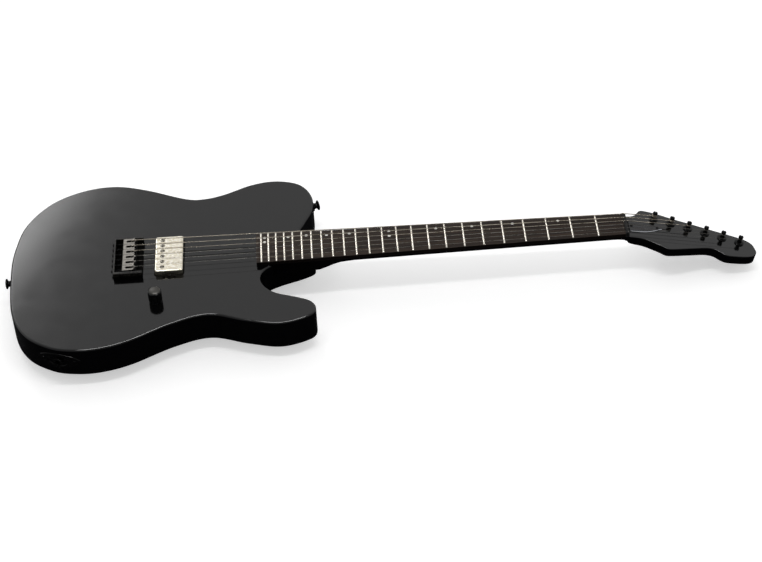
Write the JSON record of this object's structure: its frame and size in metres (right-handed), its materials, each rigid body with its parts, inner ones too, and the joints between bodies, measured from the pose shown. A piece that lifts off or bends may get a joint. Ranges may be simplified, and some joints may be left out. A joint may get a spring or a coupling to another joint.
{
  "type": "electric guitar",
  "caption": "Solid-body single-cutaway electric guitar with a bolt-on fretted neck, tilted in-line headstock, one covered humbucker, hardtail bridge and one knob.",
  "frame": {"origin": "centre line of the strings on the body's flat back, under the bridge end of the scale", "axes": "+X from the tail towards the headstock, +Y towards the bass-string side, +Z from the back of the body towards its face"},
  "size_m": [1.0078, 0.3279, 0.0793],
  "materials": {
    "body_finish": "satin charcoal-black lacquer over wood",
    "neck_finish": "satin black lacquer over wood",
    "rosewood": "dark oiled open-grain wood",
    "fret_wire": "polished nickel-silver wire",
    "nut_plastic": "moulded black plastic",
    "plain_steel": "plain machined steel",
    "cover_plastic": "black plastic sheet",
    "black_hardware": "black plated metal, satin to semi-gloss",
    "saddle_metal": "dark plated die-cast block",
    "aged_nickel": "aged warm nickel cover, lightly pitted",
    "pickup_black": "black bobbin plastic",
    "wound_string": "nickel and bronze toned wound string",
    "plain_string": "plain bright steel wire"
  },
  "bodies": {
    "root": {"body": "body_finish", "neck": "neck_finish", "fingerboard": "rosewood", "frets": "fret_wire", "nut": "nut_plastic", "truss_rod": "plain_steel", "truss_rod_cover": "cover_plastic", "truss_cover_screw": "black_hardware", "neck_plate": "black_hardware", "neck_screw_1": "black_hardware", "neck_screw_2": "black_hardware", "neck_screw_3": "black_hardware", "neck_screw_4": "black_hardware", "bridge_plate": "black_hardware", "string_1": "wound_string", "string_2": "wound_string", "string_3": "wound_string", "string_4": "plain_string", "string_5": "plain_string", "string_6": "plain_string", "tuner_housing_1": "black_hardware", "tuner_housing_2": "black_hardware", "tuner_housing_3": "black_hardware", "tuner_housing_4": "black_hardware", "tuner_housing_5": "black_hardware", "tuner_housing_6": "black_hardware", "volume_pot": "plain_steel", "jack_plate": "black_hardware", "output_jack": "plain_steel", "strap_button_tail": "black_hardware", "strap_button_horn": "black_hardware", "control_cover": "cover_plastic"},
    "knob": {"volume_knob": "black_hardware"},
    "pickup": {"pickup_cover": "aged_nickel", "pickup_base": "pickup_black"},
    "rod_nut": {"truss_rod_nut": "plain_steel"},
    "intonation_1": {"intonation_screw_1": "black_hardware"},
    "saddle_slide_1": {"saddle_1": "saddle_metal"},
    "button_1": {"tuner_button_1": "black_hardware"},
    "post_1": {"tuner_post_1": "black_hardware"},
    "intonation_2": {"intonation_screw_2": "black_hardware"},
    "saddle_slide_2": {"saddle_2": "saddle_metal"},
    "button_2": {"tuner_button_2": "black_hardware"},
    "post_2": {"tuner_post_2": "black_hardware"},
    "intonation_3": {"intonation_screw_3": "black_hardware"},
    "saddle_slide_3": {"saddle_3": "saddle_metal"},
    "button_3": {"tuner_button_3": "black_hardware"},
    "post_3": {"tuner_post_3": "black_hardware"},
    "intonation_4": {"intonation_screw_4": "black_hardware"},
    "saddle_slide_4": {"saddle_4": "saddle_metal"},
    "button_4": {"tuner_button_4": "black_hardware"},
    "post_4": {"tuner_post_4": "black_hardware"},
    "intonation_5": {"intonation_screw_5": "black_hardware"},
    "saddle_slide_5": {"saddle_5": "saddle_metal"},
    "button_5": {"tuner_button_5": "black_hardware"},
    "post_5": {"tuner_post_5": "black_hardware"},
    "intonation_6": {"intonation_screw_6": "black_hardware"},
    "saddle_slide_6": {"saddle_6": "saddle_metal"},
    "button_6": {"tuner_button_6": "black_hardware"},
    "post_6": {"tuner_post_6": "black_hardware"}
  },
  "joints": [
    {"name": "volume_turn", "type": "hinge", "parent": "root", "child": "knob", "pos_m": [0.0226, -0.0825, 0.05], "axis": [0, 0, 1], "range_deg": [0, 300]},
    {"name": "pickup_height", "type": "slide", "parent": "root", "child": "pickup", "axis": [0, 0, 1], "range_m": [-0.0025, 0.0025]},
    {"name": "truss_rod_adjust", "type": "hinge", "parent": "root", "child": "rod_nut", "pos_m": [0.657, 0, 0.041], "axis": [1, 0, 0], "range_deg": [-180, 180]},
    {"name": "intonation_screw_turn_1", "type": "hinge", "parent": "root", "child": "intonation_1", "pos_m": [-0.0345, 0.02625, 0.0495], "axis": [1, 0, 0], "range_deg": [-1800, 1800]},
    {"name": "saddle_travel_1", "type": "slide", "parent": "root", "child": "saddle_slide_1", "axis": [1, 0, 0], "range_m": [-0.0025, 0.0025]},
    {"name": "tuner_button_turn_1", "type": "hinge", "parent": "root", "child": "button_1", "pos_m": [0.68129, 0.02283, 0.01719], "axis": [0.2709, 0.9609, -0.0576], "continuous": true},
    {"name": "tuner_post_turn_1", "type": "hinge", "parent": "root", "child": "post_1", "pos_m": [0.69213, 0.021, 0.03768], "axis": [0.2079, 0, 0.9781], "continuous": true},
    {"name": "intonation_screw_turn_2", "type": "hinge", "parent": "root", "child": "intonation_2", "pos_m": [-0.0345, 0.01575, 0.0495], "axis": [1, 0, 0], "range_deg": [-1800, 1800]},
    {"name": "saddle_travel_2", "type": "slide", "parent": "root", "child": "saddle_slide_2", "axis": [1, 0, 0], "range_m": [-0.0025, 0.0025]},
    {"name": "tuner_button_turn_2", "type": "hinge", "parent": "root", "child": "button_2", "pos_m": [0.70369, 0.01623, 0.01243], "axis": [0.2709, 0.9609, -0.0576], "continuous": true},
    {"name": "tuner_post_turn_2", "type": "hinge", "parent": "root", "child": "post_2", "pos_m": [0.71452, 0.0144, 0.03292], "axis": [0.2079, 0, 0.9781], "continuous": true},
    {"name": "intonation_screw_turn_3", "type": "hinge", "parent": "root", "child": "intonation_3", "pos_m": [-0.0345, 0.00525, 0.0495], "axis": [1, 0, 0], "range_deg": [-1800, 1800]},
    {"name": "saddle_travel_3", "type": "slide", "parent": "root", "child": "saddle_slide_3", "axis": [1, 0, 0], "range_m": [-0.0025, 0.0025]},
    {"name": "tuner_button_turn_3", "type": "hinge", "parent": "root", "child": "button_3", "pos_m": [0.72608, 0.00963, 0.00767], "axis": [0.2709, 0.9609, -0.0576], "continuous": true},
    {"name": "tuner_post_turn_3", "type": "hinge", "parent": "root", "child": "post_3", "pos_m": [0.73693, 0.0078, 0.02816], "axis": [0.2079, 0, 0.9781], "continuous": true},
    {"name": "intonation_screw_turn_4", "type": "hinge", "parent": "root", "child": "intonation_4", "pos_m": [-0.0345, -0.00525, 0.0495], "axis": [1, 0, 0], "range_deg": [-1800, 1800]},
    {"name": "saddle_travel_4", "type": "slide", "parent": "root", "child": "saddle_slide_4", "axis": [1, 0, 0], "range_m": [-0.0025, 0.0025]},
    {"name": "tuner_button_turn_4", "type": "hinge", "parent": "root", "child": "button_4", "pos_m": [0.74848, 0.00303, 0.00291], "axis": [0.2709, 0.9609, -0.0576], "continuous": true},
    {"name": "tuner_post_turn_4", "type": "hinge", "parent": "root", "child": "post_4", "pos_m": [0.75933, 0.0012, 0.0234], "axis": [0.2079, 0, 0.9781], "continuous": true},
    {"name": "intonation_screw_turn_5", "type": "hinge", "parent": "root", "child": "intonation_5", "pos_m": [-0.0345, -0.01575, 0.0495], "axis": [1, 0, 0], "range_deg": [-1800, 1800]},
    {"name": "saddle_travel_5", "type": "slide", "parent": "root", "child": "saddle_slide_5", "axis": [1, 0, 0], "range_m": [-0.0025, 0.0025]},
    {"name": "tuner_button_turn_5", "type": "hinge", "parent": "root", "child": "button_5", "pos_m": [0.77089, -0.00357, -0.00186], "axis": [0.2709, 0.9609, -0.0576], "continuous": true},
    {"name": "tuner_post_turn_5", "type": "hinge", "parent": "root", "child": "post_5", "pos_m": [0.78172, -0.0054, 0.01864], "axis": [0.2079, 0, 0.9781], "continuous": true},
    {"name": "intonation_screw_turn_6", "type": "hinge", "parent": "root", "child": "intonation_6", "pos_m": [-0.0345, -0.02625, 0.0495], "axis": [1, 0, 0], "range_deg": [-1800, 1800]},
    {"name": "saddle_travel_6", "type": "slide", "parent": "root", "child": "saddle_slide_6", "axis": [1, 0, 0], "range_m": [-0.0025, 0.0025]},
    {"name": "tuner_button_turn_6", "type": "hinge", "parent": "root", "child": "button_6", "pos_m": [0.79328, -0.01017, -0.00662], "axis": [0.2709, 0.9609, -0.0576], "continuous": true},
    {"name": "tuner_post_turn_6", "type": "hinge", "parent": "root", "child": "post_6", "pos_m": [0.80412, -0.012, 0.01388], "axis": [0.2079, 0, 0.9781], "continuous": true}
  ],
  "couplings": [
    {"joint": "intonation_screw_turn_1", "follows": "saddle_travel_1", "rad_per_m": -12566},
    {"joint": "tuner_post_turn_1", "follows": "tuner_button_turn_1", "ratio": 0.066667},
    {"joint": "intonation_screw_turn_2", "follows": "saddle_travel_2", "rad_per_m": -12566},
    {"joint": "tuner_post_turn_2", "follows": "tuner_button_turn_2", "ratio": 0.066667},
    {"joint": "intonation_screw_turn_3", "follows": "saddle_travel_3", "rad_per_m": -12566},
    {"joint": "tuner_post_turn_3", "follows": "tuner_button_turn_3", "ratio": 0.066667},
    {"joint": "intonation_screw_turn_4", "follows": "saddle_travel_4", "rad_per_m": -12566},
    {"joint": "tuner_post_turn_4", "follows": "tuner_button_turn_4", "ratio": 0.066667},
    {"joint": "intonation_screw_turn_5", "follows": "saddle_travel_5", "rad_per_m": -12566},
    {"joint": "tuner_post_turn_5", "follows": "tuner_button_turn_5", "ratio": 0.066667},
    {"joint": "intonation_screw_turn_6", "follows": "saddle_travel_6", "rad_per_m": -12566},
    {"joint": "tuner_post_turn_6", "follows": "tuner_button_turn_6", "ratio": 0.066667}
  ]
}
